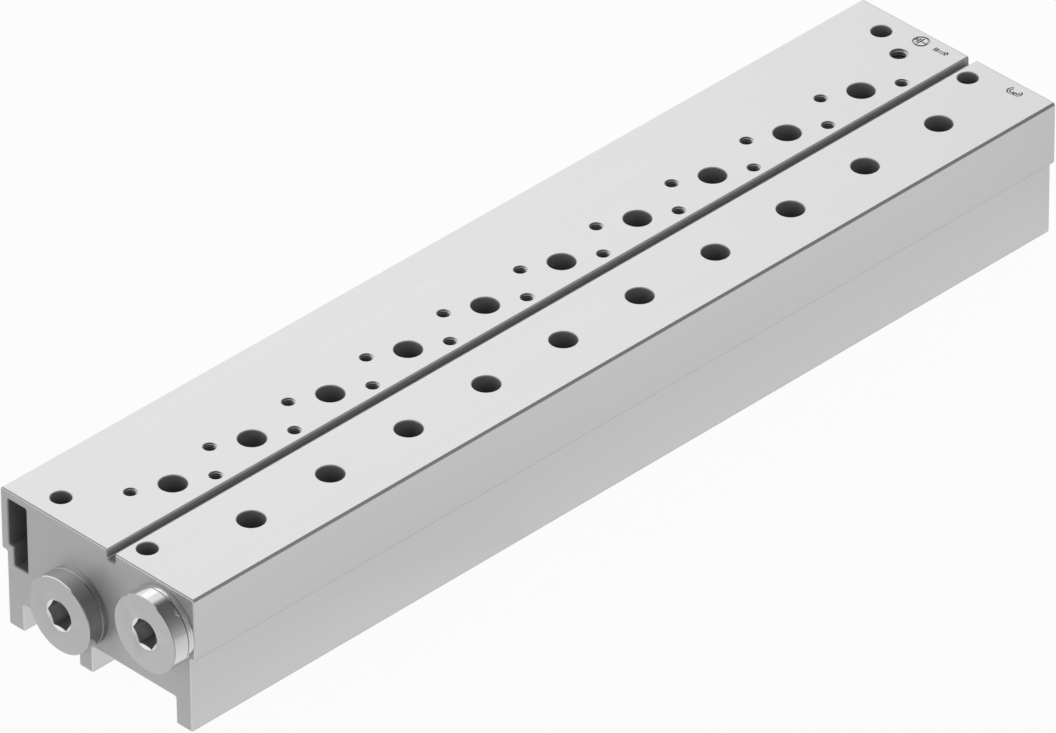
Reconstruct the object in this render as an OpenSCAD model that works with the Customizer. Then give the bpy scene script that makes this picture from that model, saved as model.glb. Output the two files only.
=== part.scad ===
// Valve connection rail: an extruded aluminium block with two lengthwise ducts, ten valve places on
// its top face, and a sealed blanking plug in each duct at one end.
// X runs along the rail towards the open duct ends, Y across it, Z up.
// The origin is on the underside of the middle foot, midway between the four fixing holes.

/* [Valve places] */
// Number of valve places along the rail
places = 10; // [2:1:16]
// Distance from one valve place to the next
pitch = 22; // [20:0.5:40]
// Distance from the last valve place to the end of the rail
end_margin = 25; // [20:0.5:50]
// Distance between a valve's two screws, along the rail
screw_span_x = 16; // [8:0.5:16]
// Distance between a valve's two screws, across the rail
screw_span_y = 8; // [7:0.5:10]
// Full diameter of a valve screw thread (M3)
screw_d = 3; // [2:0.1:4]
// Depth of a valve screw thread
screw_depth = 8; // [5:0.5:9.5]
// Diameter of the round port holes
port_d = 6; // [4:0.5:6.5]
// Distance from the supply ports to the exhaust ports, across the rail
exhaust_port_y = 20; // [18:0.5:24]
// Shift of the exhaust ports along the rail
exhaust_port_x = 2.5; // [0:0.1:4]

/* [Section] */
// Height of the rail
rail_h = 33; // [32:0.5:45]
// Distance from the supply ports to the left side
left_reach = 24; // [24:0.5:30]
// Distance from the supply ports to the right side
right_reach = 32; // [31.8:0.2:40]
// Height of the step on both sides
step_z = 18; // [9:0.5:19]
// How far the lower part is set back on the left side
left_setback = 1.5; // [1:0.1:1.6]
// How far the lower part is set back on the right side
right_setback = 1.25; // [1:0.05:1.5]
// Height of the feet
foot_h = 6.5; // [3:0.5:7]
// Width of the left foot
left_foot_w = 4.5; // [2:0.1:6]
// Width of the middle foot
middle_foot_w = 4; // [2:0.1:8]
// Width of the right foot
right_foot_w = 4.65; // [2:0.05:6]
// Chamfer along the two top edges
top_chamfer = 0.5; // [0.2:0.1:1]
// Radius of the outer corners of the feet and the steps
edge_r = 0.5; // [0.2:0.1:1]
// Radius in the inner corners of the section
inner_r = 0.4; // [0.2:0.1:0.6]

/* [Hollow chamber] */
// Wall between the chamber and the left side
chamber_wall = 2.15; // [1.5:0.05:3]
// Width of the chamber
chamber_w = 5.35; // [4:0.05:6]
// Width of the chamber below its inner step
chamber_low_w = 3.95; // [2:0.05:4]
// Height of the chamber floor
chamber_floor_z = 15.2; // [9:0.1:18]
// Height of the chamber's inner step
chamber_step_z = 19.8; // [19.2:0.1:24]
// Thickness of the roof over the chamber
chamber_roof = 2; // [1.5:0.1:4]

/* [Top groove] */
// Distance from the supply ports to the near wall of the groove
groove_y = 7.15; // [6.6:0.05:9]
// Width of the groove
groove_w = 2.25; // [1.5:0.05:3]
// Depth of the groove
groove_depth = 2.3; // [1:0.1:4]
// Radius at the bottom of the groove
groove_r = 0.7; // [0.2:0.1:0.7]
// Chamfer on the near edge of the groove
groove_chamfer = 0.4; // [0.1:0.1:0.8]

/* [Ducts] */
// Diameter of the two ducts
duct_d = 11; // [9:0.1:12]
// Distance from the supply ports to the supply duct, across the rail
supply_duct_y = 1.8; // [-1:0.1:3]
// Height of the supply duct
supply_duct_z = 15; // [14.6:0.1:15.4]
// Distance from the exhaust ports to the exhaust duct, across the rail
exhaust_duct_y = 3.2; // [2:0.1:3.2]
// Height of the exhaust duct
exhaust_duct_z = 23.2; // [21:0.1:23.4]
// Full diameter of the duct thread (G 1/4)
thread_d = 13.157; // [12.6:0.001:13.6]
// Length of the duct thread at each end
thread_len = 13; // [12:0.5:18]
// Depth of the chamfer at each duct mouth
mouth_chamfer = 0.5; // [0.2:0.1:0.8]

/* [Fixing holes] */
// Distance of the fixing holes from the ends of the rail
fixing_inset = 6; // [4:0.5:8]
// Distance between the fixing holes, across the rail
fixing_span_y = 25; // [24:0.5:26]
// Diameter of the fixing holes
fixing_d = 4.5; // [3.4:0.1:5]
// Distance of the earth thread from the open end of the rail
earth_inset = 9.6; // [5:0.1:12]
// Distance from the supply ports to the earth thread, across the rail
earth_y = 4; // [0:0.5:5]
// Full diameter of the earth thread (M4)
earth_d = 4; // [3:0.5:4]
// Depth of the earth thread
earth_depth = 8; // [5:0.5:9]

/* [Blanking plugs] */
// How far the plug head reaches past the duct thread, all round
collar_reach = 2.22; // [1:0.02:2.32]
// Thickness of the plug head
head_t = 3.8; // [2:0.1:6]
// Chamfer on the rims of the plug head
head_chamfer = 0.2; // [0.1:0.05:0.5]
// Length of the plug below its head
shank_len = 12; // [8:0.5:12.5]
// Radial clearance between the plug and the duct thread
shank_gap = 0.08; // [0.05:0.01:0.2]
// Width of the thread relief under the head
relief_w = 2.5; // [1:0.1:4]
// Depth of the thread relief under the head
relief_depth = 1.1; // [0.5:0.1:1.5]
// Chamfer on the inner end of the plug
shank_chamfer = 1; // [0.3:0.1:1.5]
// Width across flats of the hexagon socket
socket_af = 6; // [5:0.5:7]
// Depth of the hexagon socket
socket_depth = 5; // [3:0.5:8]
// Width of the round lead-in round the socket's corners
socket_lead = 0.15; // [0.05:0.05:0.5]

/* [Sealing rings] */
// How far the sealing ring stays back from the rim of the plug head
ring_step = 0.05; // [0:0.05:0.3]
// Thickness of the sealing rings
ring_t = 1.5; // [1:0.1:2.5]
// Radial clearance between the sealing ring and the plug
ring_gap = 0.25; // [0.1:0.05:0.6]
// Chamfer on the outer edges of the sealing rings
ring_chamfer = 0.12; // [0.05:0.01:0.4]

/* [Hidden] */
$fn = 48;
past = 1;
drill_tip = 59;
arc_steps = 3;
rail_len = (places-1)*pitch+2*end_margin;
rail_end = rail_len/2;
place_x = [for (i = [0:places-1]) (i-(places-1)/2)*pitch];
left_y = left_reach;
right_y = -right_reach;
left_low_y = left_y-left_setback;
right_low_y = right_y+right_setback;
chamber_out_y = left_y-chamber_wall;
chamber_in_y = chamber_out_y-chamber_w;
chamber_low_y = chamber_in_y+chamber_low_w;
chamber_top_z = rail_h-chamber_roof;
groove_out_y = -groove_y-groove_w;
groove_floor_z = rail_h-groove_depth;
supply_duct = [supply_duct_y, supply_duct_z];
exhaust_duct = [-exhaust_port_y-exhaust_duct_y, exhaust_duct_z];
head_d = thread_d+2*collar_reach;
shank_r = thread_d/2-shank_gap;

// Points of an outline with cut corners. Each corner is [y, z, size, steps]: an arc of that radius in
// that many straight steps, where one step is a chamfer, or a sharp corner where the size is 0.
function cut_corners(corners) = [
    for (i = [0:len(corners)-1])
        let (
            at = [corners[i][0], corners[i][1]],
            size = corners[i][2],
            steps = corners[i][3],
            before = corners[(i+len(corners)-1)%len(corners)],
            after = corners[(i+1)%len(corners)],
            back = unit([before[0], before[1]]-at),
            on = unit([after[0], after[1]]-at)
        )
        for (k = size > 0 ? [0:steps] : [0])
            size > 0 ? at+size*(1-sin(90*k/steps))*back+size*(1-cos(90*k/steps))*on : at
];
function unit(v) = v/norm(v);

// Outline of the block and its three feet
module block_outline() {
    polygon(cut_corners([
        [left_y, rail_h, top_chamfer, 1],
        [left_y, step_z, edge_r, arc_steps],
        [left_low_y, step_z, inner_r, arc_steps],
        [left_low_y, 0, edge_r, arc_steps],
        [left_low_y-left_foot_w, 0, edge_r, arc_steps],
        [left_low_y-left_foot_w, foot_h, inner_r, arc_steps],
        [middle_foot_w/2, foot_h, inner_r, arc_steps],
        [middle_foot_w/2, 0, edge_r, arc_steps],
        [-middle_foot_w/2, 0, edge_r, arc_steps],
        [-middle_foot_w/2, foot_h, inner_r, arc_steps],
        [right_low_y+right_foot_w, foot_h, inner_r, arc_steps],
        [right_low_y+right_foot_w, 0, edge_r, arc_steps],
        [right_low_y, 0, edge_r, arc_steps],
        [right_low_y, step_z, inner_r, arc_steps],
        [right_y, step_z, edge_r, arc_steps],
        [right_y, rail_h, top_chamfer, 1]
    ]));
}

// The stepped chamber behind the left side
module chamber_outline() {
    polygon(cut_corners([
        [chamber_in_y, chamber_floor_z, inner_r, arc_steps],
        [chamber_low_y, chamber_floor_z, inner_r, arc_steps],
        [chamber_low_y, chamber_step_z, inner_r, arc_steps],
        [chamber_out_y, chamber_step_z, inner_r, arc_steps],
        [chamber_out_y, chamber_top_z, inner_r, arc_steps],
        [chamber_in_y, chamber_top_z, inner_r, arc_steps]
    ]));
}

// The narrow groove along the top face, with a chamfer on its edge nearer the supply ports
module groove_outline() {
    polygon(cut_corners([
        [groove_out_y, rail_h+past, 0, 0],
        [groove_out_y, groove_floor_z, groove_r, arc_steps],
        [-groove_y, groove_floor_z, groove_r, arc_steps],
        [-groove_y, rail_h-groove_chamfer, 0, 0],
        [-groove_y+groove_chamfer+past, rail_h+past, 0, 0]
    ]));
}

// The extruded section with its chamber, groove and ducts
module section() {
    difference() {
        block_outline();
        chamber_outline();
        groove_outline();
        translate(supply_duct) circle(d = duct_d);
        translate(exhaust_duct) circle(d = duct_d);
    }
}

// A blind hole from the top face down, with the cone that the drill leaves
module blind_hole(d, depth) {
    translate([0, 0, rail_h]) rotate_extrude() polygon([
        [0, past], [d/2, past], [d/2, -depth], [0, -depth-d/2/tan(drill_tip)]
    ]);
}

// The holes of one valve place: two ports down to the ducts and two screw threads
module valve_place() {
    translate([0, 0, supply_duct_z]) cylinder(d = port_d, h = rail_h+past-supply_duct_z);
    translate([exhaust_port_x, -exhaust_port_y, exhaust_duct_z])
        cylinder(d = port_d, h = rail_h+past-exhaust_duct_z);
    for (s = [-1, 1])
        translate([s*screw_span_x/2, -s*screw_span_y/2, 0]) blind_hole(screw_d, screw_depth);
}

// The thread at one end of a duct, cut from the end face inwards, and its chamfered mouth
module duct_thread(side, duct) {
    r = thread_d/2;
    translate([side*rail_end, duct[0], duct[1]]) rotate([0, side*90, 0]) rotate_extrude() polygon([
        [0, past], [r+mouth_chamfer+past, past], [r, -mouth_chamfer], [r, -thread_len], [0, -thread_len]
    ]);
}

module manifold_rail() {
    color("#d3d4d4") difference() {
        rotate([90, 0, 90]) linear_extrude(rail_len, center = true) section();
        for (x = place_x) translate([x, 0, 0]) valve_place();
        for (side = [-1, 1], duct = [supply_duct, exhaust_duct]) duct_thread(side, duct);
        for (sx = [-1, 1], sy = [-1, 1])
            translate([sx*(rail_end-fixing_inset), sy*fixing_span_y/2, foot_h-past])
                cylinder(d = fixing_d, h = rail_h-foot_h+2*past);
        translate([rail_end-earth_inset, earth_y, 0]) blind_hole(earth_d, earth_depth);
    }
}

// A screw plug on the Z axis: its head stands on the plane Z = 0 and its thread reaches below it
module plug() {
    hex_r = socket_af/2/cos(30);
    lead_r = hex_r+socket_lead;
    lead_depth = (lead_r-socket_af/2)*tan(30);
    difference() {
        rotate_extrude() polygon([
            [0, head_t], [head_d/2-head_chamfer, head_t], [head_d/2, head_t-head_chamfer],
            [head_d/2, head_chamfer], [head_d/2-head_chamfer, 0],
            [shank_r-relief_depth, 0], [shank_r-relief_depth, -relief_w+relief_depth],
            [shank_r, -relief_w], [shank_r, -shank_len+shank_chamfer],
            [shank_r-shank_chamfer, -shank_len], [0, -shank_len]
        ]);
        translate([0, 0, head_t-socket_depth]) cylinder(r = hex_r, h = socket_depth+past, $fn = 6);
        translate([0, 0, head_t-lead_depth])
            cylinder(r1 = socket_af/2, r2 = lead_r+past/tan(30), h = lead_depth+past);
        translate([0, 0, head_t-socket_depth-socket_af/2/tan(drill_tip)])
            cylinder(d1 = 0, d2 = socket_af, h = socket_af/2/tan(drill_tip));
    }
}

// A flat sealing ring on the Z axis, between the planes Z = 0 and Z = ring_t
module sealing_ring() {
    inner = shank_r+ring_gap;
    outer = head_d/2-ring_step;
    rotate_extrude() polygon([
        [inner, 0], [outer-ring_chamfer, 0], [outer, ring_chamfer],
        [outer, ring_t-ring_chamfer], [outer-ring_chamfer, ring_t], [inner, ring_t]
    ]);
}

// Turns a piece from the Z axis onto a duct's axis, with its foot that far out from the closed end face
module at_closed_end(duct, out) {
    translate([-rail_end-out, duct[0], duct[1]]) rotate([0, -90, 0]) children();
}

module supply_plug() {
    color("#b9bbbd") at_closed_end(supply_duct, ring_t) plug();
}

module exhaust_plug() {
    color("#b9bbbd") at_closed_end(exhaust_duct, ring_t) plug();
}

module supply_sealing_ring() {
    color("#a9abad") at_closed_end(supply_duct, 0) sealing_ring();
}

module exhaust_sealing_ring() {
    color("#a9abad") at_closed_end(exhaust_duct, 0) sealing_ring();
}

manifold_rail();
supply_plug();
exhaust_plug();
supply_sealing_ring();
exhaust_sealing_ring();
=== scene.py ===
import math

import bmesh
import bpy
import numpy as np
from mathutils import Matrix, Vector


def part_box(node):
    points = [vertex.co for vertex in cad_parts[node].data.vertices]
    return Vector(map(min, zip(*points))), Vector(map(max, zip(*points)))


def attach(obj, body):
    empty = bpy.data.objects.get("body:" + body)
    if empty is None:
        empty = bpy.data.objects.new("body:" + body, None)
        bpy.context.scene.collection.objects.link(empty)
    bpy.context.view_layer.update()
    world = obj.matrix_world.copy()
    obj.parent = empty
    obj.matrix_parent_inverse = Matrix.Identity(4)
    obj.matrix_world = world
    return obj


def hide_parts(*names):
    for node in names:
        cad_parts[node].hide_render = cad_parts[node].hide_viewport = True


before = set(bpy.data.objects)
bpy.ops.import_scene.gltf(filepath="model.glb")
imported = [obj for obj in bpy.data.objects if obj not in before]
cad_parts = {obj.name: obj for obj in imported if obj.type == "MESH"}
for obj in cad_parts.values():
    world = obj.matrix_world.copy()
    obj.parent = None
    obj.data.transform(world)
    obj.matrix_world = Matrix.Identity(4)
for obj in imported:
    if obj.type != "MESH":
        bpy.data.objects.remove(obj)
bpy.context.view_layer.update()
mm = 0.001


def boxInMm(node):
    low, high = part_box(node)
    return np.array(low)/mm, np.array(high)/mm


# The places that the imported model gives, in mm
railLow, railHigh = boxInMm("manifold_rail")
ductCentres = {}
for ductName in ("supply", "exhaust"):
    headLow, headHigh = boxInMm(ductName+"_plug")
    ductCentres[ductName] = (headLow+headHigh)[1:]/2
headRadius = (headHigh-headLow)[1]/2
topZ = railHigh[2]
print("frame: rail", railLow.round(2), railHigh.round(2), "ducts", ductCentres)


# Meshes from arrays

def pushedOut(outline, distance):
    # Each point moves by distance along the mean of its two edge normals, divided by how far they agree,
    # so that every edge of a loop that runs anticlockwise ends up that far outside itself
    edge = np.roll(outline, -1, 0)-outline
    normal = np.stack([edge[:, 1], -edge[:, 0]], 1)/np.linalg.norm(edge, axis=1)[:, None]
    before = np.roll(normal, 1, 0)
    return outline+distance*(normal+before)/(1+(normal*before).sum(1))[:, None]


def cutCorners(corners, steps):
    # A corner row is y, z, size and 1 for an arc or 0 for a chamfer. With b and o the directions back to
    # the corner before and on to the one after, an arc is corner + size (1-sin a) b + size (1-cos a) o for
    # a from 0 to 90 degrees, and a chamfer is the straight mix of the same two ends. Of points that fall
    # together one is kept
    rows = np.array(corners, float)
    at = rows[:, :2]
    back = np.roll(at, 1, 0)-at
    on = np.roll(at, -1, 0)-at
    back /= np.linalg.norm(back, axis=1)[:, None]
    on /= np.linalg.norm(on, axis=1)[:, None]
    t = np.linspace(0, 1, steps+1)
    isArc = rows[:, 3:4] > 0
    backShare = np.where(isArc, 1-np.sin(t*math.pi/2), 1-t)*rows[:, 2:3]
    onShare = np.where(isArc, 1-np.cos(t*math.pi/2), t)*rows[:, 2:3]
    points = at[:, None]+backShare[..., None]*back[:, None]+onShare[..., None]*on[:, None]
    points = points.reshape(-1, 2)
    together = 1e-6
    return points[np.linalg.norm(np.roll(points, -1, 0)-points, axis=1) > together]


def carriedAlong(outline, stations):
    # The outline at each station, x = station[0], pushed out by station[1]
    rings = [np.column_stack([np.full(len(outline), x), pushedOut(outline, out)]) for x, out in stations]
    return np.stack(rings)


def revolved(profile, columns, radiusAt=None):
    # Point (r cos a, r sin a, z) for each row (r, z) of the profile and each of the columns' angles a
    profile = np.array(profile, float)
    angle = np.linspace(0, 2*math.pi, columns, endpoint=False)
    radius = np.repeat(profile[:, :1], columns, 1) if radiusAt is None else radiusAt(angle, profile[:, 1:])
    height = np.repeat(profile[:, 1:], columns, 1)
    return np.stack([radius*np.cos(angle), radius*np.sin(angle), height], -1)


def helical(turns, ridge, columns, pitch, start, limit):
    # One row for each place in ridge (share of a turn, radius) and each turn. A point sits at
    # z = start - pitch (turn + share + column/columns), so the last column meets the first one a turn
    # further on, and its radius is the ridge's, changed by limit(radius, z)
    share, radius = np.array(ridge, float).T
    turn = (np.arange(turns)[:, None]+share).reshape(-1, 1)
    column = np.arange(columns)
    angle = 2*math.pi*column/columns
    height = start-pitch*(turn+column/columns)
    wide = limit(np.tile(radius, turns)[:, None]+0*height, height)
    return np.stack([wide*np.cos(angle), wide*np.sin(angle), height], -1)


def sweptFlat(path, section):
    # The section's (across, height) at each point of a flat path. Across runs along the mean of the two
    # edge normals there, divided by how far they agree, so that the stroke keeps its width at a bend
    edge = np.diff(path, axis=0)
    edge /= np.linalg.norm(edge, axis=1)[:, None]
    before = np.vstack([edge[:1], edge])
    after = np.vstack([edge, edge[-1:]])
    mean = (before+after)/(1+(before*after).sum(1))[:, None]
    normal = np.column_stack([-mean[:, 1], mean[:, 0]])
    flat = path[:, None]+section[None, :, :1]*normal[:, None]
    height = np.broadcast_to(section[None, :, 1:], (*flat.shape[:2], 1))
    return np.concatenate([flat, height], -1)


def faceGrid(rows, columns, shift):
    # Quads between neighbours. The last column joins the first one, shift rows further on
    row, column = np.meshgrid(np.arange(rows-1), np.arange(columns), indexing="ij")
    onColumn = (column+1) % columns
    down = np.where(column == columns-1, shift, 0)
    quads = np.stack([row*columns+column, (row+down)*columns+onColumn,
                      (row+1+down)*columns+onColumn, (row+1)*columns+column], -1)
    return quads[row+1+down < rows]


def solidFrom(name, points, faces, wall=None):
    mesh = bpy.data.meshes.new(name)
    mesh.from_pydata((points*mm).tolist(), [], faces)
    shell = bmesh.new()
    shell.from_mesh(mesh)
    bmesh.ops.recalc_face_normals(shell, faces=shell.faces)
    shell.to_mesh(mesh)
    shell.free()
    if wall is not None:
        mesh.materials.append(wall)
    solid = bpy.data.objects.new(name, mesh)
    bpy.context.scene.collection.objects.link(solid)
    return solid


def closedSolid(name, points, places=((0, 0, 0),), shift=0, startTip=None, endTip=None, turn=None,
                wall=None):
    # A closed surface over a grid of rows and columns, once at each place. Each end is one flat face, or
    # a fan of triangles to its tip
    rows, columns = points.shape[:2]
    first = np.concatenate([np.arange(columns), np.arange(shift, 0, -1)*columns])
    lastRow = (rows-1)*columns+np.arange(columns)
    last = np.concatenate([lastRow, lastRow[-1]-np.arange(1, shift+1)*columns])
    flat = points.reshape(-1, 3)
    blocks = [faceGrid(rows, columns, shift)]
    for loop, tip in ((first, startTip), (last, endTip)):
        if tip is None:
            blocks.append(loop[None])
        else:
            flat = np.vstack([flat, tip])
            tipIndex = np.full(len(loop), len(flat)-1)
            blocks.append(np.stack([loop, np.roll(loop, -1), tipIndex], 1))
    if turn is not None:
        flat = flat@np.array(turn, float).T
    places = np.array(places, float)
    steps = np.arange(len(places))*len(flat)
    faces = []
    for block in blocks:
        faces += (block[None]+steps[:, None, None]).reshape(-1, block.shape[1]).tolist()
    return solidFrom(name, (flat[None]+places[:, None]).reshape(-1, 3), faces, wall)


def closedRing(name, points, place, turn=None, wall=None):
    # The last row of the grid joins the first one, so the surface closes on itself both ways
    rows, columns = points.shape[:2]
    quads = faceGrid(rows+1, columns, 0) % (rows*columns)
    flat = points.reshape(-1, 3)
    if turn is not None:
        flat = flat@np.array(turn, float).T
    return solidFrom(name, flat+np.array(place), quads.tolist(), wall)


def worked(piece, operation, tools):
    # Each tool is taken from the piece, or joined to it, and the result becomes the piece's own mesh
    for tool in tools:
        step = piece.modifiers.new(tool.name, "BOOLEAN")
        step.operation = operation
        step.solver = "MANIFOLD"
        step.material_mode = "TRANSFER"
        step.object = tool
    finished = piece.evaluated_get(bpy.context.evaluated_depsgraph_get())
    mesh = bpy.data.meshes.new_from_object(finished)
    piece.modifiers.clear()
    piece.data = mesh
    for tool in tools:
        bpy.data.objects.remove(tool)


def shadeByAngle(piece, degrees):
    piece.data.shade_smooth()
    piece.data.set_sharp_from_angle(angle=math.radians(degrees))


# Shader groups

def newGroup(name, inputs, outputs):
    group = bpy.data.node_groups.new(name, "ShaderNodeTree")
    for label, kind, value in inputs:
        socket = group.interface.new_socket(label, in_out="INPUT", socket_type=kind)
        if value is not None:
            socket.default_value = value
    for label, kind in outputs:
        group.interface.new_socket(label, in_out="OUTPUT", socket_type=kind)
    return group, group.nodes.new("NodeGroupInput"), group.nodes.new("NodeGroupOutput")


def mathNode(tree, operation, first, second=None, third=None):
    node = tree.nodes.new("ShaderNodeMath")
    node.operation = operation
    for socket, value in zip(node.inputs, (first, second, third)):
        if value is None:
            continue
        if isinstance(value, (int, float)):
            socket.default_value = value
        else:
            tree.links.new(value, socket)
    return node.outputs[0]


def noiseNode(tree, vector, scale, detail):
    node = tree.nodes.new("ShaderNodeTexNoise")
    node.inputs["Scale"].default_value = scale
    node.inputs["Detail"].default_value = detail
    tree.links.new(vector, node.inputs["Vector"])
    return node.outputs["Fac"]


def splitVector(tree, vector):
    node = tree.nodes.new("ShaderNodeSeparateXYZ")
    tree.links.new(vector, node.inputs[0])
    return node.outputs["X"], node.outputs["Y"], node.outputs["Z"]


def clamped(tree, operation, *values):
    result = mathNode(tree, operation, *values)
    result.node.use_clamp = True
    return result


def makeFaceTurn():
    # Which way a face looks, as shares from 0 to 1: End is square to X, Side square to Y, Rim and Arris are
    # the two facets that turn over to an end face, and Under is where an edge rolls down and in. They mask
    # the rail's painted shade on End, Rim and Under and its painted highlight on Arris
    tree, given, result = newGroup("faceTurn", [("Steepness", "NodeSocketFloat", 12.0)], [
        (label, "NodeSocketFloat") for label in ("End", "Side", "Rim", "Arris", "Under")])
    surface = tree.nodes.new("ShaderNodeNewGeometry")
    flatX, flatY, flatZ = splitVector(tree, surface.outputs["True Normal"])
    end = mathNode(tree, "ABSOLUTE", flatX)

    def above(level):
        # A steep step from 0 to 1 where the share of X passes the level
        past = mathNode(tree, "SUBTRACT", end, level)
        return clamped(tree, "MULTIPLY_ADD", past, given.outputs["Steepness"], 0.5)
    rimFrom, arrisFrom, endFrom = 0.2, 0.65, 0.96
    onRim, onArris, onEnd = above(rimFrom), above(arrisFrom), above(endFrom)
    rim = mathNode(tree, "SUBTRACT", onRim, onArris)
    paintedArrisHighlight = mathNode(tree, "SUBTRACT", onArris, onEnd)
    up = clamped(tree, "MULTIPLY", flatZ, 1.0)
    # An upright facet keeps 0.45 of the painted highlight, a level one all of it
    level = clamped(tree, "MULTIPLY_ADD", mathNode(tree, "ABSOLUTE", flatZ), 1.4, 0.45)
    # Under, which carries painted shade, is 3 d (1 - d), with d how far the smooth normal points down, so a
    # flat underside has none
    down = clamped(tree, "MULTIPLY", splitVector(tree, surface.outputs["Normal"])[2], -1.0)
    notDown = mathNode(tree, "SUBTRACT", 1.0, down)
    results = {
        "End": onEnd,
        "Side": mathNode(tree, "ABSOLUTE", flatY),
        "Rim": mathNode(tree, "MULTIPLY", rim, up),
        "Arris": mathNode(tree, "MULTIPLY", paintedArrisHighlight, level),
        "Under": clamped(tree, "MULTIPLY", mathNode(tree, "MULTIPLY", down, 3.0), notDown),
    }
    for label, value in results.items():
        tree.links.new(value, result.inputs[label])
    return tree


def makeBrushedGrain():
    # Three noises stretched along X, from fine hairlines to wide soft bands. Each row below has how much
    # longer and wider its marks are than Length and Width
    tree, given, result = newGroup("brushedGrain", [
        ("Position", "NodeSocketVector", None), ("Length", "NodeSocketFloat", 0.03),
        ("Width", "NodeSocketFloat", 0.0002), ("Fine", "NodeSocketFloat", 1.0),
        ("Soft", "NodeSocketFloat", 1.0), ("Wide", "NodeSocketFloat", 0.5)],
        [("Grain", "NodeSocketFloat")])
    along = mathNode(tree, "DIVIDE", 1.0, given.outputs["Length"])
    across = mathNode(tree, "DIVIDE", 1.0, given.outputs["Width"])
    total = None
    for stretch, spread, part in ((1.0, 1.0, "Fine"), (2.0, 4.0, "Soft"), (4.0, 16.0, "Wide")):
        scale = tree.nodes.new("ShaderNodeCombineXYZ")
        tree.links.new(mathNode(tree, "DIVIDE", along, stretch), scale.inputs["X"])
        for axis in ("Y", "Z"):
            tree.links.new(mathNode(tree, "DIVIDE", across, spread), scale.inputs[axis])
        stretched = tree.nodes.new("ShaderNodeVectorMath")
        stretched.operation = "MULTIPLY"
        tree.links.new(given.outputs["Position"], stretched.inputs[0])
        tree.links.new(scale.outputs[0], stretched.inputs[1])
        centred = mathNode(tree, "SUBTRACT", noiseNode(tree, stretched.outputs[0], 1.0, 2.0), 0.5)
        weighted = mathNode(tree, "MULTIPLY", centred, given.outputs[part])
        total = weighted if total is None else mathNode(tree, "ADD", total, weighted)
    tree.links.new(total, result.inputs["Grain"])
    return tree


def makeTurnedRings():
    # Lathe marks: noise over the distance from an axis along X and over the place along it, how squarely a
    # face lies across that axis, and the line where two turned pieces meet, for a painted shade line in
    # that crevice
    tree, given, result = newGroup("turnedRings", [
        ("Position", "NodeSocketVector", None), ("Width", "NodeSocketFloat", 0.0003),
        ("Seam X", "NodeSocketFloat", 0.0), ("Seam Width", "NodeSocketFloat", 0.0002)],
        [(label, "NodeSocketFloat") for label in ("Rings", "Face On", "Chamfer", "Seam")])
    x, y, z = splitVector(tree, given.outputs["Position"])
    squares = [mathNode(tree, "MULTIPLY", part, part) for part in (y, z)]
    radius = mathNode(tree, "SQRT", mathNode(tree, "ADD", *squares))
    spot = tree.nodes.new("ShaderNodeCombineXYZ")
    tree.links.new(mathNode(tree, "DIVIDE", radius, given.outputs["Width"]), spot.inputs["X"])
    tree.links.new(mathNode(tree, "DIVIDE", x, given.outputs["Width"]), spot.inputs["Y"])
    rings = mathNode(tree, "SUBTRACT", noiseNode(tree, spot.outputs[0], 1.0, 2.0), 0.5)
    surface = tree.nodes.new("ShaderNodeNewGeometry")
    across = splitVector(tree, surface.outputs["True Normal"])[0]
    squared = mathNode(tree, "MULTIPLY", across, across)
    slant = mathNode(tree, "MULTIPLY", squared, mathNode(tree, "SUBTRACT", 1.0, squared))
    away = mathNode(tree, "ABSOLUTE", mathNode(tree, "SUBTRACT", x, given.outputs["Seam X"]))
    results = {
        "Rings": rings,
        "Face On": mathNode(tree, "MULTIPLY", squared, squared),
        "Chamfer": clamped(tree, "MULTIPLY", slant, 4.0),  # reaches 1 at 45 degrees
        "Seam": clamped(tree, "SUBTRACT", 1.0, mathNode(tree, "DIVIDE", away, given.outputs["Seam Width"])),
    }
    for label, value in results.items():
        tree.links.new(value, result.inputs[label])
    return tree


def makeDepthBelow():
    # How deep a point lies behind a hole's mouth, as a share of Deepest:
    # (Mouth - position . outward)/Deepest
    tree, given, result = newGroup("depthBelow", [
        ("Position", "NodeSocketVector", None), ("Outward", "NodeSocketVector", (0, 0, 1)),
        ("Mouth", "NodeSocketFloat", 0.033), ("Deepest", "NodeSocketFloat", 0.005)],
        [("Depth", "NodeSocketFloat")])
    dot = tree.nodes.new("ShaderNodeVectorMath")
    dot.operation = "DOT_PRODUCT"
    tree.links.new(given.outputs["Position"], dot.inputs[0])
    tree.links.new(given.outputs["Outward"], dot.inputs[1])
    below = mathNode(tree, "SUBTRACT", given.outputs["Mouth"], dot.outputs["Value"])
    tree.links.new(clamped(tree, "DIVIDE", below, given.outputs["Deepest"]), result.inputs["Depth"])
    return tree


def makeFaceAway():
    # How far a face looks away from a direction: 1 - normal . toward, held between 0 and 1
    tree, given, result = newGroup("faceAway", [("Toward", "NodeSocketVector", (0, 0, 1))],
                                    [("Away", "NodeSocketFloat")])
    surface = tree.nodes.new("ShaderNodeNewGeometry")
    dot = tree.nodes.new("ShaderNodeVectorMath")
    dot.operation = "DOT_PRODUCT"
    tree.links.new(surface.outputs["True Normal"], dot.inputs[0])
    tree.links.new(given.outputs["Toward"], dot.inputs[1])
    tree.links.new(clamped(tree, "SUBTRACT", 1.0, dot.outputs["Value"]), result.inputs["Away"])
    return tree


faceTurn = makeFaceTurn()
faceAway = makeFaceAway()
brushedGrain = makeBrushedGrain()
turnedRings = makeTurnedRings()
depthBelow = makeDepthBelow()


# Materials

def newMaterial(name):
    material = bpy.data.materials.new(name)
    material.use_nodes = True
    tree = material.node_tree
    return material, tree, tree.nodes["Principled BSDF"]


def placedGroup(tree, group, values):
    node = tree.nodes.new("ShaderNodeGroup")
    node.node_tree = group
    for label, value in values.items():
        node.inputs[label].default_value = value
    return node


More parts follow.
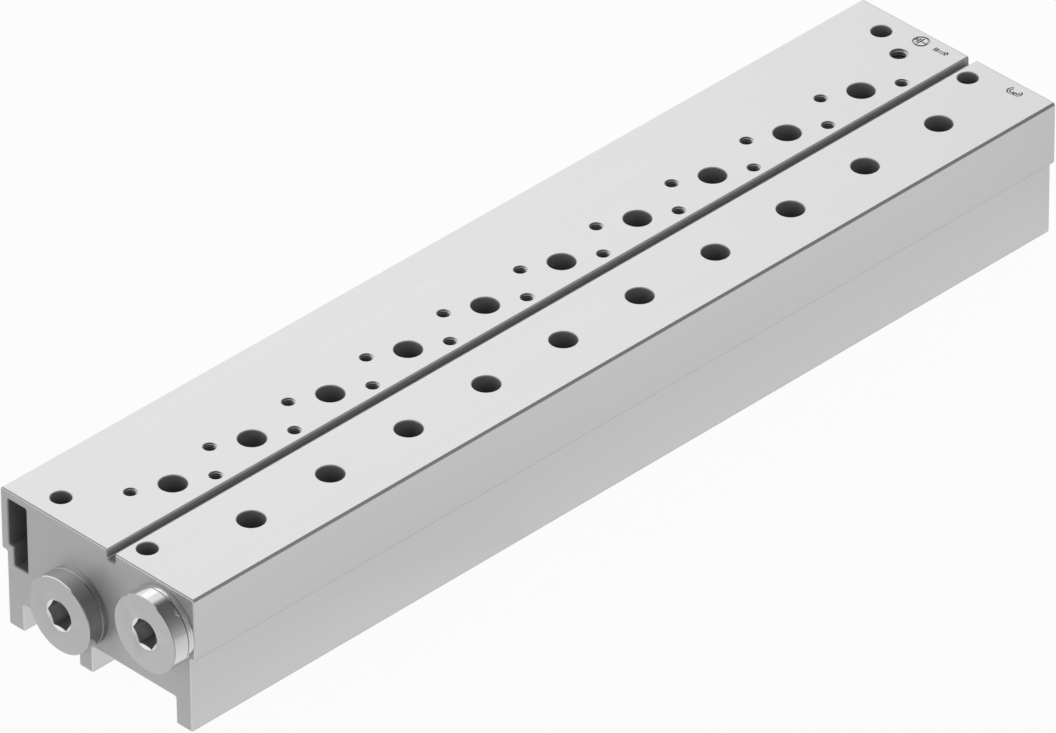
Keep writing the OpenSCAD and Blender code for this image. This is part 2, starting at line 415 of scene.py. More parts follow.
def objectPosition(tree, offset=(0, 0, 0), scale=(1, 1, 1)):
    coordinates = tree.nodes.new("ShaderNodeTexCoord")
    mapping = tree.nodes.new("ShaderNodeMapping")
    mapping.inputs["Location"].default_value = offset
    mapping.inputs["Scale"].default_value = scale
    tree.links.new(coordinates.outputs["Object"], mapping.inputs["Vector"])
    return mapping.outputs["Vector"]


def grey(tone):
    # A faintly cool metal grey
    return (tone, tone*1.003, tone*1.006, 1)


def mixedColour(tree, share, first, second, blend="MIX"):
    # Mixes two colours, each a grey tone or another node's output
    node = tree.nodes.new("ShaderNodeMix")
    node.data_type = "RGBA"
    node.blend_type = blend
    tree.links.new(share, node.inputs["Factor"])
    for label, value in (("A", first), ("B", second)):
        if isinstance(value, float):
            node.inputs[label].default_value = grey(value)
        else:
            tree.links.new(value, node.inputs[label])
    return node.outputs["Result"]


def bumped(tree, height, strength, distance):
    node = tree.nodes.new("ShaderNodeBump")
    node.inputs["Strength"].default_value = strength
    node.inputs["Distance"].default_value = distance
    tree.links.new(height, node.inputs["Height"])
    return node.outputs["Normal"]


railFinish = {
    "dark": 0.67, "light": 0.785,
    "grainLength": 0.03, "grainWidth": 0.0002, "fine": 0.5, "soft": 0.9, "wide": 0.6, "sideCalm": 0.7,
    "roughness": 0.34, "roughnessSwing": 0.14,
    # endShade paints shade on the end faces; endRoughness and endMatt give them their matt milled finish
    "endShade": 0.825, "endRoughness": 0.08, "endMatt": 0.6,
    # Painted shade and highlight on the end edges: a dark line on the first facet, a highlight on the
    # second, and shade where an edge rolls down and in
    "rim": 0.42, "paintedArrisHighlight": 0.9, "under": 0.5,
    "bump": 0.1, "bumpDepth": 0.00002,
}


def makeAnodised(f):
    material, tree, shader = newMaterial("anodisedAluminium")
    turn = placedGroup(tree, faceTurn, {}).outputs
    brushed = placedGroup(tree, brushedGrain, {
        "Length": f["grainLength"], "Width": f["grainWidth"],
        "Fine": f["fine"], "Soft": f["soft"], "Wide": f["wide"]})
    tree.links.new(objectPosition(tree), brushed.inputs["Position"])
    calm = mathNode(tree, "MULTIPLY_ADD", turn["Side"], -f["sideCalm"], 1.0)
    calm = clamped(tree, "SUBTRACT", calm, turn["End"])
    grain = mathNode(tree, "MULTIPLY", brushed.outputs["Grain"], calm)
    colour = mixedColour(tree, clamped(tree, "ADD", grain, 0.5), f["dark"], f["light"])
    # Painted shade on the end faces, where an edge rolls down and in, and as a dark line on the first
    # end-edge facet, then a painted highlight on the second facet
    for share, tone in (("End", "endShade"), ("Under", "under"), ("Rim", "rim")):
        colour = mixedColour(tree, turn[share], colour, f[tone], "MULTIPLY")
    colour = mixedColour(tree, turn["Arris"], colour, f["paintedArrisHighlight"])
    tree.links.new(colour, shader.inputs["Base Color"])
    rough = mathNode(tree, "MULTIPLY_ADD", grain, f["roughnessSwing"], f["roughness"])
    rough = mathNode(tree, "MULTIPLY_ADD", turn["End"], f["endRoughness"], rough)
    tree.links.new(rough, shader.inputs["Roughness"])
    metal = mathNode(tree, "MULTIPLY_ADD", turn["End"], -f["endMatt"], 1.0)
    tree.links.new(metal, shader.inputs["Metallic"])
    tree.links.new(bumped(tree, grain, f["bump"], f["bumpDepth"]), shader.inputs["Normal"])
    return material


# Walls that a drill, a tap, a cutter, a broach or an engraver has left, with painted shade and highlight in
# their tones. Each tone stop is a depth below the mouth in mm with its tone: shade that mostly deepens into
# each cut, light and dark bands in the groove, a bright lead in the socket and dark engraved walls. A wall
# that looks away from lit is darkened by dim, a painted shade
cutFinish = {
    "drilled": {"paintedShadeStops": ((0, 0.98), (0.25, 0.60), (0.7, 0.46), (1.5, 0.42), (3.0, 0.42), (4.5, 0.42)),
                "width": 0.0003, "roughness": 0.45, "metallic": 0.4, "lit": (-0.9, 0.4, 0.1), "dim": 0.7},
    "tapped": {"paintedShadeStops": ((0, 1.0), (0.8, 0.95), (1.8, 0.60), (3.5, 0.30)), "width": 0.0002,
               "roughness": 0.28, "metallic": 0.6, "lit": (-0.6, 0.75, 0.25), "dim": 0.35},
    "slotted": {"paintedShadeStops": ((0, 0.80), (0.3, 0.55), (0.45, 0.48), (0.6, 0.43), (0.75, 0.41), (1.0, 0.45),
                          (1.3, 0.44), (1.45, 0.33), (1.6, 0.27), (1.75, 0.50), (1.95, 0.79), (2.2, 0.37)),
                "width": 0.0003, "roughness": 0.4, "metallic": 0.3, "along": 0.02},
    "hollowed": {"paintedShadeStops": ((0, 0.44), (12, 0.44), (20, 0.52)),
                 "width": 0.0003, "roughness": 0.4, "metallic": 0.6},
    "broached": {"paintedShadeStops": ((0, 1.0), (0.36, 1.0), (0.42, 0.62), (3.0, 0.52)),
                 "width": 0.0002, "roughness": 0.3, "metallic": 0.9},
    "engraved": {"paintedShadeStops": ((0, 0.72), (0.04, 0.72), (0.06, 0.28), (0.17, 0.28), (0.2, 0.50)),
                 "width": 0.0001, "roughness": 0.34, "metallic": 1.0},
}
cutMarks = {"detail": 3.0, "tone": 0.85, "roughnessSwing": 0.1, "bump": 0.1, "bumpDepth": 0.00001}


def makeCut(name, f, mouth=topZ, outward=(0, 0, 1)):
    material, tree, shader = newMaterial(name)
    deepest = f["paintedShadeStops"][-1][0]
    depth = placedGroup(tree, depthBelow, {"Outward": outward, "Mouth": mouth*mm, "Deepest": deepest*mm})
    tree.links.new(objectPosition(tree), depth.inputs["Position"])
    # The ramp paints shade and highlight by depth below the mouth
    ramp = tree.nodes.new("ShaderNodeValToRGB")
    paintedShadeStops = ramp.color_ramp.elements
    while len(paintedShadeStops) < len(f["paintedShadeStops"]):
        paintedShadeStops.new(1.0)
    for stop, (place, tone) in zip(paintedShadeStops, f["paintedShadeStops"]):
        stop.position = place/deepest
        stop.color = grey(tone)
    tree.links.new(depth.outputs["Depth"], ramp.inputs["Fac"])
    stretched = objectPosition(tree, scale=(f.get("along", 1), 1, 1))
    noise = noiseNode(tree, stretched, 1/f["width"], cutMarks["detail"])
    colour = mixedColour(tree, noise, ramp.outputs["Color"], cutMarks["tone"], "MULTIPLY")
    # Painted shade on walls that look away from lit
    if "lit" in f:
        away = placedGroup(tree, faceAway, {"Toward": f["lit"]})
        colour = mixedColour(tree, away.outputs["Away"], colour, f["dim"], "MULTIPLY")
    tree.links.new(colour, shader.inputs["Base Color"])
    swing = cutMarks["roughnessSwing"]
    rough = mathNode(tree, "MULTIPLY_ADD", noise, swing, f["roughness"]-swing/2)
    tree.links.new(rough, shader.inputs["Roughness"])
    tree.links.new(bumped(tree, noise, cutMarks["bump"], cutMarks["bumpDepth"]), shader.inputs["Normal"])
    shader.inputs["Metallic"].default_value = f["metallic"]
    return material


# The chamfer tone paints shade on the head's chamfer; the supply plug's paints a highlight there
plugFinish = {
    "dark": 0.67, "light": 0.83, "faceShade": 0.78, "chamferLightAndShade": 0.7, "shadedSeam": 0.22, "seamWidth": 0.00018,
    "ringWidth": 0.00022, "rimContrast": 1.6, "faceContrast": 0.5,
    "roughness": 0.09, "faceRoughness": 0.14, "roughnessSwing": 0.04, "bump": 0.04, "bumpDepth": 0.00001,
}
ringFinish = dict(plugFinish, dark=0.70, light=0.84, roughness=0.12)
# The supply plug and its ring are a shaded copy of the plug finish: their darker tones are painted shade,
# and faceShade lifts their faces back. Each of the turns is a way that a surface may look, how fast the
# tone fades as it looks elsewhere, and the tone: painted shade where it looks down and to -Y, a painted
# highlight where it looks up
shadedSupplyFinish = dict(plugFinish, dark=0.23, light=0.43, faceShade=1.66, chamferLightAndShade=1.45, rimContrast=2.4,
                  faceContrast=0.0, roughness=0.13, roughnessSwing=0.01, bump=0.0,
                  turns=(((0.0, -0.75, -0.66), 3.0, 0.57), ((0.0, 0.2, 0.98), 2.2, 2.0)))
turnedFinish = {"supply": (shadedSupplyFinish, dict(shadedSupplyFinish, light=0.46)), "exhaust": (plugFinish, ringFinish)}


def makeTurned(name, f, centre, shadedSeam):
    material, tree, shader = newMaterial(name)
    offset = (0, -centre[0]*mm, -centre[1]*mm)
    marks = placedGroup(tree, turnedRings, {
        "Width": f["ringWidth"], "Seam X": shadedSeam*mm, "Seam Width": f["seamWidth"]})
    tree.links.new(objectPosition(tree, offset), marks.inputs["Position"])
    rings, faceOn = marks.outputs["Rings"], marks.outputs["Face On"]
    contrast = mathNode(tree, "MULTIPLY_ADD", faceOn, f["faceContrast"]-f["rimContrast"], f["rimContrast"])
    share = clamped(tree, "MULTIPLY_ADD", rings, contrast, 0.5)
    colour = mixedColour(tree, share, f["dark"], f["light"])
    colour = mixedColour(tree, faceOn, colour, f["faceShade"], "MULTIPLY")
    # Painted light on the head's chamfer: shade on the exhaust plug, a highlight on the supply plug
    colour = mixedColour(tree, marks.outputs["Chamfer"], colour, f["chamferLightAndShade"], "MULTIPLY")
    # Painted shade and highlight where a surface looks toward each of the turns' ways
    for toward, fall, tone in f.get("turns", ()):
        away = placedGroup(tree, faceAway, {"Toward": toward})
        near = clamped(tree, "MULTIPLY_ADD", away.outputs["Away"], -fall, 1.0)
        colour = mixedColour(tree, near, colour, tone, "MULTIPLY")
    # A painted shade line in the crevice where the head meets the ring
    colour = mixedColour(tree, marks.outputs["Seam"], colour, f["shadedSeam"])
    tree.links.new(colour, shader.inputs["Base Color"])
    rough = mathNode(tree, "MULTIPLY_ADD", rings, f["roughnessSwing"], f["roughness"])
    rough = mathNode(tree, "MULTIPLY_ADD", faceOn, f["faceRoughness"], rough)
    tree.links.new(rough, shader.inputs["Roughness"])
    tree.links.new(bumped(tree, rings, f["bump"], f["bumpDepth"]), shader.inputs["Normal"])
    shader.inputs["Metallic"].default_value = 1.0
    return material


anodised = makeAnodised(railFinish)
cutWalls = {name: makeCut(name+"Wall", finish) for name, finish in cutFinish.items() if name != "broached"}
cutWalls["broached"] = makeCut("broachedWall", cutFinish["broached"], -headLow[0], (-1, 0, 0))
print("materials ready")


# The rail

railShape = {
    "places": 10, "pitch": 22.0,
    "topChamfer": 0.5, "cornerRadius": 0.5, "innerRadius": 0.4, "cornerSteps": 5, "endRound": 0.3,
    "stepZ": 18.0, "leftSetback": 1.5, "rightSetback": 1.25,
    "footHeight": 6.5, "leftFoot": 4.5, "middleFoot": 4.0, "rightFoot": 4.65,
    "chamberWall": 2.15, "chamberWidth": 5.35, "chamberLowWidth": 3.95,
    "chamberFloorZ": 15.2, "chamberStepZ": 19.8, "chamberRoof": 2.0,
    "grooveY": 7.15, "grooveWidth": 2.25, "grooveDepth": 2.3, "grooveRadius": 0.7,
    "grooveChamferWidth": 0.36, "grooveChamferDepth": 0.3,
    "ductRadius": 5.5, "plugThreadLength": 13.0, "mouthChamfer": 0.5,
    "portRadius": 3.0, "portEdge": 0.15, "exhaustPort": (2.5, -20.0),
    "screwSpan": (16.0, 8.0), "screwRadius": 1.5, "screwCore": 1.23, "screwPitch": 0.5, "screwDepth": 8.0,
    "screwMouth": 0.0,
    "fixingInset": 6.0, "fixingSpan": 25.0, "fixingRadius": 2.25, "fixingEdge": 0.15,
    "earthPlace": (9.6, 4.0), "earthRadius": 2.0, "earthCore": 1.62, "earthPitch": 0.7, "earthDepth": 8.0,
    "pipeRadius": 6.5785, "pipeCore": 5.7225, "pipePitch": 1.337, "pipeThreadLength": 13.0,
    "drillTip": 59.0, "past": 1.0, "threadInside": 0.2, "smoothBelow": 20.0,
    "boreSides": 96, "fixingSides": 72, "screwSides": 28, "earthSides": 36,
}


def blockOutline(s):
    # The corners run clockwise, from the top down one side, round the three feet and up the other side,
    # and the outline is turned round to run anticlockwise
    leftY, rightY = railHigh[1], railLow[1]
    leftLow, rightLow = leftY-s["leftSetback"], rightY+s["rightSetback"]
    outer, inner, foot = s["cornerRadius"], s["innerRadius"], s["footHeight"]
    half = s["middleFoot"]/2
    leftFoot, rightFoot = leftLow-s["leftFoot"], rightLow+s["rightFoot"]
    corners = [
        (leftY, topZ, s["topChamfer"], 0),
        (leftY, s["stepZ"], outer, 1), (leftLow, s["stepZ"], inner, 1),
        (leftLow, 0, outer, 1), (leftFoot, 0, outer, 1), (leftFoot, foot, inner, 1),
        (half, foot, inner, 1), (half, 0, outer, 1), (-half, 0, outer, 1), (-half, foot, inner, 1),
        (rightFoot, foot, inner, 1), (rightFoot, 0, outer, 1),
        (rightLow, 0, outer, 1), (rightLow, s["stepZ"], inner, 1), (rightY, s["stepZ"], outer, 1),
        (rightY, topZ, s["topChamfer"], 0),
    ]
    return cutCorners(corners, s["cornerSteps"])[::-1]


def chamberOutline(s):
    outY = railHigh[1]-s["chamberWall"]
    inY = outY-s["chamberWidth"]
    lowY = inY+s["chamberLowWidth"]
    roofZ = topZ-s["chamberRoof"]
    places = [(inY, s["chamberFloorZ"]), (lowY, s["chamberFloorZ"]), (lowY, s["chamberStepZ"]),
              (outY, s["chamberStepZ"]), (outY, roofZ), (inY, roofZ)]
    return cutCorners([(y, z, s["innerRadius"], 1) for y, z in places], s["cornerSteps"])


def grooveOutline(s):
    nearY = -s["grooveY"]
    farY = nearY-s["grooveWidth"]
    floorZ, past = topZ-s["grooveDepth"], s["past"]
    wide, deep = s["grooveChamferWidth"], s["grooveChamferDepth"]
    return cutCorners([
        (farY, topZ+past, 0, 1), (farY, floorZ, s["grooveRadius"], 1),
        (nearY, floorZ, s["grooveRadius"], 1), (nearY, topZ-deep, 0, 1),
        (nearY+wide*(1+past/deep), topZ+past, 0, 1)], s["cornerSteps"])


def endRounding(s):
    # An arc in two facets: x = end - r (1 - sin a) and out = -r (1 - cos a) for a of 0, 45 and 90 degrees
    angle = np.radians([0, 45, 90])
    x = railHigh[0]-s["endRound"]*(1-np.sin(angle))
    return list(zip(x, -s["endRound"]*(1-np.cos(angle))))


def endFlare(s):
    # A cutter runs past both end faces and widens there, as the block narrows
    half = [(x, -out) for x, out in endRounding(s)]
    half.append((railHigh[0]+s["past"], s["endRound"]+s["past"]))
    return [(-x, out) for x, out in half[::-1]]+half


def isoRidge(core, full):
    # A 60 degree thread cut into a hole: a flat crest of a quarter pitch and a flat root of an eighth
    return [(0.0, core), (0.25, core), (0.5625, full), (0.6875, full)]


def pipeRidge(core, full, steps=8):
    # A rounded pipe thread: its radius follows a cosine over one pitch
    share = np.arange(steps)/steps
    return np.column_stack([share, (core+full)/2-(full-core)/2*np.cos(2*math.pi*share)])


def tappedHole(name, places, full, core, pitch, depth, mouth, columns, drillTip):
    # The thread starts above the face, opens out by a cone at the mouth, runs out above the bottom and ends
    # in the drill's cone. Lead, crown and runOut are in turns
    lead, crown, runOut = 1.2, 1.5, 1.5

    def limit(radius, height):
        radius = np.where(height < -depth+runOut*pitch, core, radius)
        return np.maximum(radius, full+mouth+height)
    turns = math.ceil(depth/pitch)+1
    ridge = isoRidge(core, full)
    points = helical(turns, ridge, columns, pitch, lead*pitch, limit)
    lowest = points[..., 2].min()
    tip = (0, 0, lowest-core/math.tan(math.radians(drillTip)))
    return closedSolid(name, points, places, shift=len(ridge), startTip=(0, 0, crown*pitch), endTip=tip,
                       wall=cutWalls["tapped"])


# Signs cut into the top face beside the open end: protective earth, and the two ports' numbers
markShape = {
    "back": 3.0, "earthY": 3.9, "oneY": -1.9, "threeY": -23.1, "height": 3.9,
    "stroke": 0.95, "edgeLine": 0.34, "circleRadius": 1.66, "circleStroke": 0.5, "barStroke": 0.36,
    "depth": 0.2, "floorDepth": 0.03, "slope": 0.06, "above": 0.5, "circleSides": 72, "arcPoints": 25,
}


def arcPath(centre, radius, fromDegrees, toDegrees):
    angle = np.radians(np.linspace(fromDegrees, toDegrees, markShape["arcPoints"]))
    return np.array(centre)+radius*np.column_stack([np.cos(angle), np.sin(angle)])


# Each stroke's numbers are shares of the sign's height or radius

def oneStrokes(height):
    half = height/2
    return [[(0, -half), (0, half)], [(-0.22*height, -half), (0.22*height, -half)],
            [(-0.24*height, 0.28*height), (0.02*height, half)]]


def threeStrokes(height):
    low, high = 0.285*height, 0.215*height
    return [arcPath((0, height/2-high), high, 160, -90), arcPath((0, low-height/2), low, 90, -155)]


def earthStrokes(radius):
    bars = [(-0.05, 0.72), (-0.38, 0.50), (-0.70, 0.26)]
    stem = [[(0, radius), (0, bars[0][0]*radius)]]
    return stem+[[(-half*radius, v*radius), (half*radius, v*radius)] for v, half in bars]


def markCutters(s):
    # A sign's own right is -X and its top is -Y
    def placed(strokes, y):
        centre = np.array([railHigh[0]-s["back"], y])
        return [centre-np.array(stroke, float) for stroke in strokes]

    def grooveSection(width):
        # Steep sides down to a flat floor
        half = [(width/2, topZ+s["above"]), (width/2, topZ), (width/2-s["slope"], topZ-s["depth"])]
        return np.array([(-across, z) for across, z in half]+half[::-1])

    def outlinedSection(width):
        # A narrow cut along each edge, and between them a level floor just below the face
        line, low, level = s["edgeLine"], topZ-s["depth"], topZ-s["floorDepth"]
        half = [(width/2, topZ+s["above"]), (width/2, topZ), (width/2-line/2, low), (width/2-line, level)]
        return np.array([(-across, z) for across, z in half]+half[::-1])
    tall = s["height"]-s["stroke"]
    digits = placed(oneStrokes(tall), s["oneY"])+placed(threeStrokes(tall), s["threeY"])
    earth = placed(earthStrokes(s["circleRadius"]), s["earthY"])
    cutters = []
    for paths, section in ((digits, outlinedSection(s["stroke"])), (earth, grooveSection(s["barStroke"]))):
        for path in paths:
            name = "stroke"+str(len(cutters))
            cutters.append(closedSolid(name, sweptFlat(path, section), wall=cutWalls["engraved"]))
    circle = grooveSection(s["circleStroke"])+np.array([s["circleRadius"], 0])
    place = (railHigh[0]-s["back"], s["earthY"], 0)
    ring = revolved(circle, s["circleSides"])
    cutters.append(closedRing("signCircle", ring, place, wall=cutWalls["engraved"]))
    return cutters


def makeRail(s):
    x0, x1, past = railLow[0], railHigh[0], s["past"]
    half = endRounding(s)
    block = carriedAlong(blockOutline(s), [(-x, out) for x, out in half[::-1]]+half)
    rail = closedSolid("valve_rail", block, wall=anodised)
    print("rail: block of", len(rail.data.vertices), "points")

    drilled = cutWalls["drilled"]
    chamber = carriedAlong(chamberOutline(s), endFlare(s))
    groove = carriedAlong(grooveOutline(s), endFlare(s))
    cutters = [closedSolid("chamber", chamber, wall=cutWalls["hollowed"]),
               closedSolid("groove", groove, wall=cutWalls["slotted"])]

    alongX = [[0, 0, 1], [1, 0, 0], [0, 1, 0]]
    pipe, mouth, duct, pitch = s["pipeRadius"], s["mouthChamfer"], s["ductRadius"], s["pipePitch"]
    bore = revolved([(pipe+mouth+past, x0-past), (pipe, x0+mouth), (pipe, x0+s["plugThreadLength"]),
                     (duct, x0+s["plugThreadLength"]), (duct, x1-past)], s["boreSides"])

    def limit(radius, height):
        # Below the thread it stays inside the duct, and the mouth opens out by a cone
        radius = np.where(height < -s["pipeThreadLength"], duct-s["threadInside"], radius)
        return np.maximum(radius, pipe+mouth+height)
    # The cutter's first turn starts by lead turns before the face, and its tip stands at crown turns
    lead, crown = 1.5, 2.0
    turns = math.ceil(s["pipeThreadLength"]/pitch+lead)+1
    ridge = pipeRidge(s["pipeCore"], pipe)
    thread = helical(turns, ridge, s["boreSides"], pitch, lead*pitch, limit)
    startTip, endTip = (0, 0, crown*pitch), (0, 0, thread[..., 2].min()-past)
    for name, (y, z) in ductCentres.items():
        cutters.append(closedSolid(name+"Duct", bore, [(0, y, z)], turn=alongX, wall=drilled))
        cutters.append(closedSolid(name+"Thread", thread, [(x1, y, z)], shift=len(ridge), turn=alongX,
                                   startTip=startTip, endTip=endTip, wall=drilled))

    placeX = (np.arange(s["places"])-(s["places"]-1)/2)*s["pitch"]
    port, edge = s["portRadius"], s["portEdge"]
    for name, offset, y in (("supply", 0.0, 0.0), ("exhaust", *s["exhaustPort"])):
        places = [(x+offset, y, topZ) for x in placeX]
        profile = [(port+edge+past, past), (port, -edge), (port, ductCentres[name][1]-topZ)]
        ports = revolved(profile, s["boreSides"])
        cutters.append(closedSolid(name+"Ports", ports, places, wall=drilled))

    spanX, spanY = s["screwSpan"]
    screws = [(x+side*spanX/2, -side*spanY/2, topZ) for x in placeX for side in (-1, 1)]
    cutters.append(tappedHole("screwHoles", screws, s["screwRadius"], s["screwCore"], s["screwPitch"],
                              s["screwDepth"], s["screwMouth"], s["screwSides"], s["drillTip"]))
    earthX, earthY = s["earthPlace"]
    cutters.append(tappedHole("earthHole", [(x1-earthX, earthY, topZ)], s["earthRadius"], s["earthCore"],
                              s["earthPitch"], s["earthDepth"], s["screwMouth"], s["earthSides"],
                              s["drillTip"]))

    fixing, edge = s["fixingRadius"], s["fixingEdge"]
    drop = s["footHeight"]-topZ
    profile = [(fixing+edge+past, past), (fixing, -edge), (fixing, drop+edge),
               (fixing+edge+past, drop-past)]
    reach = x1-s["fixingInset"]
    fixings = [(sx*reach, sy*s["fixingSpan"]/2, topZ) for sx in (-1, 1) for sy in (-1, 1)]
    cutters.append(closedSolid("fixingHoles", revolved(profile, s["fixingSides"]), fixings, wall=drilled))
    cutters += markCutters(markShape)

    worked(rail, "DIFFERENCE", cutters)
    shadeByAngle(rail, s["smoothBelow"])
    print("rail:", len(rail.data.polygons), "faces after drilling")
    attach(rail, "root")
    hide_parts("manifold_rail")


makeRail(railShape)


# Plugs and sealing rings at the closed end

plugShape = {
    "headThickness": 3.8, "headChamfer": 0.2, "shankLength": 12.0, "shankGap": 0.08,
    "pipePitch": 1.337, "threadDepth": 0.856, "reliefWidth": 2.5, "reliefDepth": 1.1, "shankChamfer": 1.0,
    "socketAcross": 6.0, "socketDepth": 5.0, "socketLead": 0.15, "leadDepth": 0.45, "leadAbove": 0.02,
    "leadRows": 24, "floorCircle": 0.98, "floorDrop": 0.001, "drillTip": 59.0,
    "past": 1.0, "sides": 192, "threadSides": 96, "smoothBelow": 30.0,
}
ringShape = {
    "thickness": 1.5, "gap": 0.25, "chamfer": 0.12, "step": 0.05, "sides": 192, "smoothBelow": 30.0,
}
# Turns a lathe's z axis to -X, out of the closed end
outwards = [[0, 0, -1], [0, 1, 0], [1, 0, 0]]


def makePlug(name, centre, s):
    head, t, c = headRadius, s["headThickness"], s["headChamfer"]
    shank = railShape["pipeRadius"]-s["shankGap"]
    past = s["past"]
    place = [(railLow[0]-ringShape["thickness"], *centre)]
    inset = shank-s["reliefDepth"]
    profile = [(head-c, t), (head, t-c), (head, c), (head-c, 0)]
    steel = makeTurned(name+"PlatedSteel", turnedFinish[name][0], centre, place[0][0])
    plug = closedSolid(name+"_screw_plug", revolved(profile, s["sides"]), place, turn=outwards, wall=steel)

    def limit(radius, height):
        # The relief groove behind the head widens at 45 degrees, and so does the shank's end
        fromRelief = inset+np.maximum(0, -height-(s["reliefWidth"]-s["reliefDepth"]))
        fromEnd = shank-s["shankChamfer"]+np.maximum(0, s["shankLength"]+height)
        return np.minimum(np.minimum(radius, fromRelief), fromEnd)
    turns = math.ceil(s["shankLength"]/s["pipePitch"])
    ridge = pipeRidge(shank-s["threadDepth"], shank)
    thread = helical(turns, ridge, s["threadSides"], s["pipePitch"], past, limit)
    shankSolid = closedSolid("shank", thread, place, shift=len(ridge), startTip=(0, 0, past), turn=outwards,
                             endTip=(0, 0, thread[..., 2].min()), wall=steel)
    worked(plug, "UNION", [shankSolid])

    flat = s["socketAcross"]/2
    leadRadius = flat/math.cos(math.pi/6)+s["socketLead"]
    floor = t-s["socketDepth"]

    def socketRadius(angle, height):
        # The hexagon's radius flat / cos(angle from the middle of its nearest side), or the lead-in
        # cone's where that is wider
        across = flat/np.cos((angle+math.pi/6) % (math.pi/3)-math.pi/6)
        cone = leadRadius+(height-t)/math.tan(math.pi/6)
        return np.maximum(across+0*height, cone)
    leadRows = np.linspace(t+s["leadAbove"], t-s["leadDepth"], s["leadRows"])
    heights = np.concatenate([[t+past], leadRows, [floor]])
    walls = revolved(np.column_stack([0*heights, heights]), s["threadSides"], socketRadius)
    # At the floor a circle just inside the flats leads down to the drill's tip
    floorCircle = revolved([(flat*s["floorCircle"], floor-s["floorDrop"])], s["threadSides"])
    tip = (0, 0, floor-flat/math.tan(math.radians(s["drillTip"])))
    socket = closedSolid("socket", np.vstack([walls, floorCircle]), place, turn=outwards, endTip=tip,
                         wall=cutWalls["broached"])
    worked(plug, "DIFFERENCE", [socket])
    shadeByAngle(plug, s["smoothBelow"])
    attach(plug, "root")
    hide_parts(name+"_plug")


def makeRing(name, centre, s):
    inner = railShape["pipeRadius"]-plugShape["shankGap"]+s["gap"]
    outer, t, c = headRadius-s["step"], s["thickness"], s["chamfer"]
    loop = [(inner, 0), (outer-c, 0), (outer, c), (outer, t-c), (outer-c, t), (inner, t)]
    metal = makeTurned(name+"RingMetal", turnedFinish[name][1], centre, railLow[0]-s["thickness"])
    place = (railLow[0], *centre)
    ring = closedRing(name+"_seal_ring", revolved(loop, s["sides"]), place, outwards, metal)
    shadeByAngle(ring, s["smoothBelow"])
    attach(ring, "root")
    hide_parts(name+"_sealing_ring")


for ductName, centre in ductCentres.items():
    makePlug(ductName, centre, plugShape)
    makeRing(ductName, centre, ringShape)
print("plugs and rings ready")


# Floor, light and camera

# The camera sees the floor by seenPlain as plain white and otherwise with the shadows on it
stageShape = {
    "floorSize": 8.0, "floorTone": 0.9, "floorRoughness": 0.9, "seenPlain": 0.95,
    "nearGlow": 0.46, "farGlow": 0.40, "glowReach": 0.15,
}


def makeFloor(s):
    mesh = bpy.data.meshes.new("floor")
    half = s["floorSize"]/2
    corners = [(-half, -half, 0), (half, -half, 0), (half, half, 0), (-half, half, 0)]
    mesh.from_pydata(corners, [], [(0, 1, 2, 3)])
    floor = bpy.data.objects.new("floor", mesh)
    bpy.context.scene.collection.objects.link(floor)
    material, tree, shader = newMaterial("floorWhite")
    shader.inputs["Base Color"].default_value = (s["floorTone"],)*3+(1,)
    shader.inputs["Roughness"].default_value = s["floorRoughness"]
    plain = tree.nodes.new("ShaderNodeEmission")
    rays = tree.nodes.new("ShaderNodeLightPath")
    mirrored = mathNode(tree, "MAXIMUM", rays.outputs["Is Glossy Ray"], rays.outputs["Is Transmission Ray"])

    # Mirrored, the floor glows by far + near exp(-d/reach), with d the distance from the rail's outline
    x, y = splitVector(tree, objectPosition(tree, (0, -(railLow[1]+railHigh[1])/2*mm, 0)))[:2]
    halfSize = (railHigh-railLow)/2*mm
    squares = []
    for part, reach in ((x, halfSize[0]), (y, halfSize[1])):
        outside = clamped(tree, "SUBTRACT", mathNode(tree, "ABSOLUTE", part), float(reach))
        squares.append(mathNode(tree, "POWER", outside, 2.0))
    away = mathNode(tree, "SQRT", mathNode(tree, "ADD", *squares))
    fall = mathNode(tree, "POWER", math.exp(-1/s["glowReach"]), away)
    glow = mathNode(tree, "MULTIPLY_ADD", fall, s["nearGlow"], s["farGlow"])
    dimmed = mathNode(tree, "MULTIPLY_ADD", mirrored, mathNode(tree, "SUBTRACT", glow, 1.0), 1.0)
    tree.links.new(dimmed, plain.inputs["Strength"])
    share = mathNode(tree, "MULTIPLY_ADD", rays.outputs["Is Camera Ray"], s["seenPlain"], mirrored)
    mix = tree.nodes.new("ShaderNodeMixShader")
    tree.links.new(share, mix.inputs["Fac"])
    tree.links.new(shader.outputs[0], mix.inputs[1])
    tree.links.new(plain.outputs[0], mix.inputs[2])
    tree.links.new(mix.outputs[0], tree.nodes["Material Output"].inputs["Surface"])
    mesh.materials.append(material)


makeFloor(stageShape)

skyLight = {
    "horizon": 0.44, "fade": 1.6, "panel": 0.96, "panelTop": (0.84, 0.78), "panelSide": (0.0, 0.1),
    "overhead": 0.55, "overheadEdge": (0.88, 0.95),
}


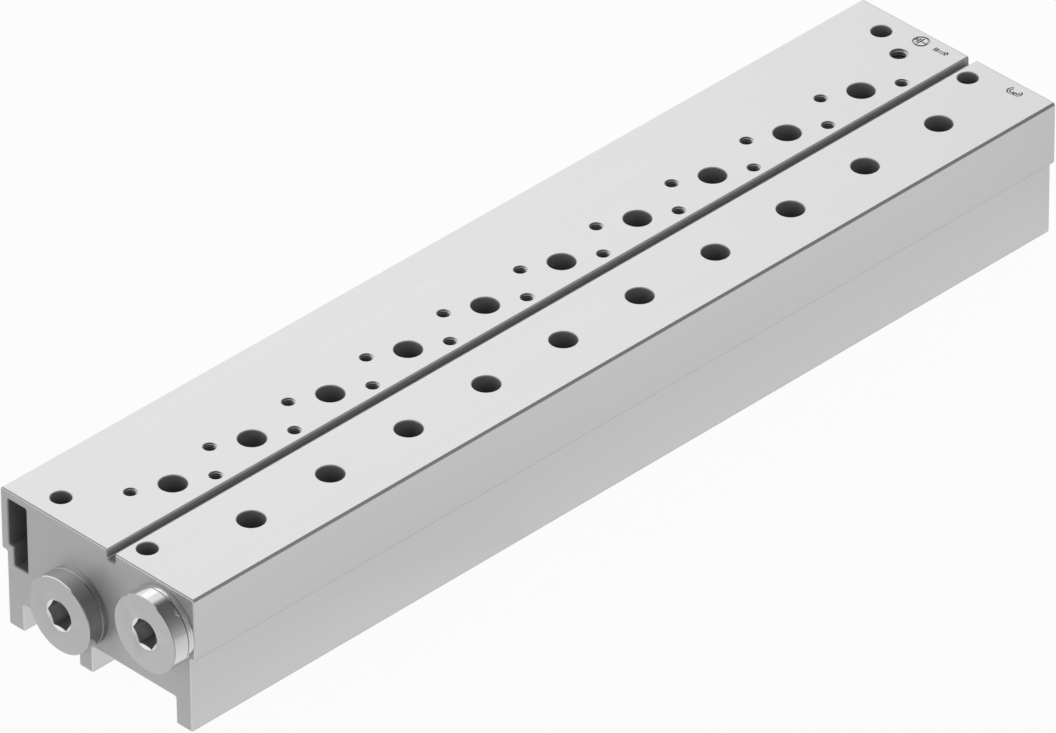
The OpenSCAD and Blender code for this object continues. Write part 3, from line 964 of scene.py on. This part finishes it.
def makeSky(s):
    # Horizon exp(-fade z) up the sky, a bright wall behind the rail on the +Y half below the panel's top,
    # and a softer patch overhead
    world = bpy.data.worlds.new("studio")
    world.use_nodes = True
    tree = world.node_tree
    y, z = splitVector(tree, tree.nodes.new("ShaderNodeTexCoord").outputs["Generated"])[1:]
    sky = mathNode(tree, "POWER", math.exp(-s["fade"]), mathNode(tree, "MAXIMUM", z, 0.0))
    sky = mathNode(tree, "MULTIPLY", sky, s["horizon"])

    def softStep(part, edge):
        soft = tree.nodes.new("ShaderNodeMapRange")
        soft.interpolation_type = "SMOOTHSTEP"
        soft.inputs["From Min"].default_value = edge[0]
        soft.inputs["From Max"].default_value = edge[1]
        tree.links.new(part, soft.inputs["Value"])
        return soft.outputs[0]

    def raised(light, share, level):
        more = mathNode(tree, "MULTIPLY", mathNode(tree, "SUBTRACT", level, light), share)
        return mathNode(tree, "ADD", light, more)
    wall = mathNode(tree, "MULTIPLY", softStep(z, s["panelTop"]), softStep(y, s["panelSide"]))
    sky = raised(raised(sky, wall, s["panel"]), softStep(z, s["overheadEdge"]), s["overhead"])
    tree.links.new(sky, tree.nodes["Background"].inputs["Color"])
    bpy.context.scene.world = world


makeSky(skyLight)

softBoxes = [
    {"name": "overBack", "place": (0.75, 0.95, 0.85), "size": (0.5, 0.5), "power": 0.25},
    {"name": "rightFill", "place": (-0.1, -1.6, 0.9), "size": (1.4, 0.8), "power": 5.0},
]


def makeSoftBox(box):
    light = bpy.data.lights.new(box["name"], "AREA")
    light.shape = "RECTANGLE"
    light.size, light.size_y = box["size"]
    light.energy = box["power"]
    lamp = bpy.data.objects.new(box["name"], light)
    lamp.location = box["place"]
    lamp.rotation_euler = (-Vector(box["place"])).to_track_quat("-Z", "Y").to_euler()
    bpy.context.scene.collection.objects.link(lamp)


for box in softBoxes:
    makeSoftBox(box)

cameraSet = {
    "lens": 504.9, "sensor": 36.0, "azimuth": 45.402, "elevation": 34.929, "roll": -0.481,
    "distance": 3028.7, "target": (0.0, -4.0, 16.5), "aside": 2.03, "up": 1.84,
}


def makeCamera(s):
    azimuth, elevation, roll = (math.radians(s[k]) for k in ("azimuth", "elevation", "roll"))
    ahead = Vector((math.cos(elevation)*math.cos(azimuth), math.cos(elevation)*math.sin(azimuth),
                    -math.sin(elevation)))
    right = ahead.cross(Vector((0, 0, 1))).normalized()
    up = right.cross(ahead)
    rolledRight = right*math.cos(roll)+up*math.sin(roll)
    rolledUp = -right*math.sin(roll)+up*math.cos(roll)
    data = bpy.data.cameras.new("camera")
    data.lens = s["lens"]
    data.sensor_width = s["sensor"]
    place = Vector(s["target"])-ahead*s["distance"]-rolledRight*s["aside"]-rolledUp*s["up"]
    camera = bpy.data.objects.new("camera", data)
    turned = Matrix((rolledRight, rolledUp, -ahead)).transposed().to_4x4()
    camera.matrix_world = Matrix.Translation(place*mm)@turned
    bpy.context.scene.collection.objects.link(camera)
    bpy.context.scene.camera = camera


makeCamera(cameraSet)
bpy.context.scene.view_settings.view_transform = "Standard"

print("scene ready")
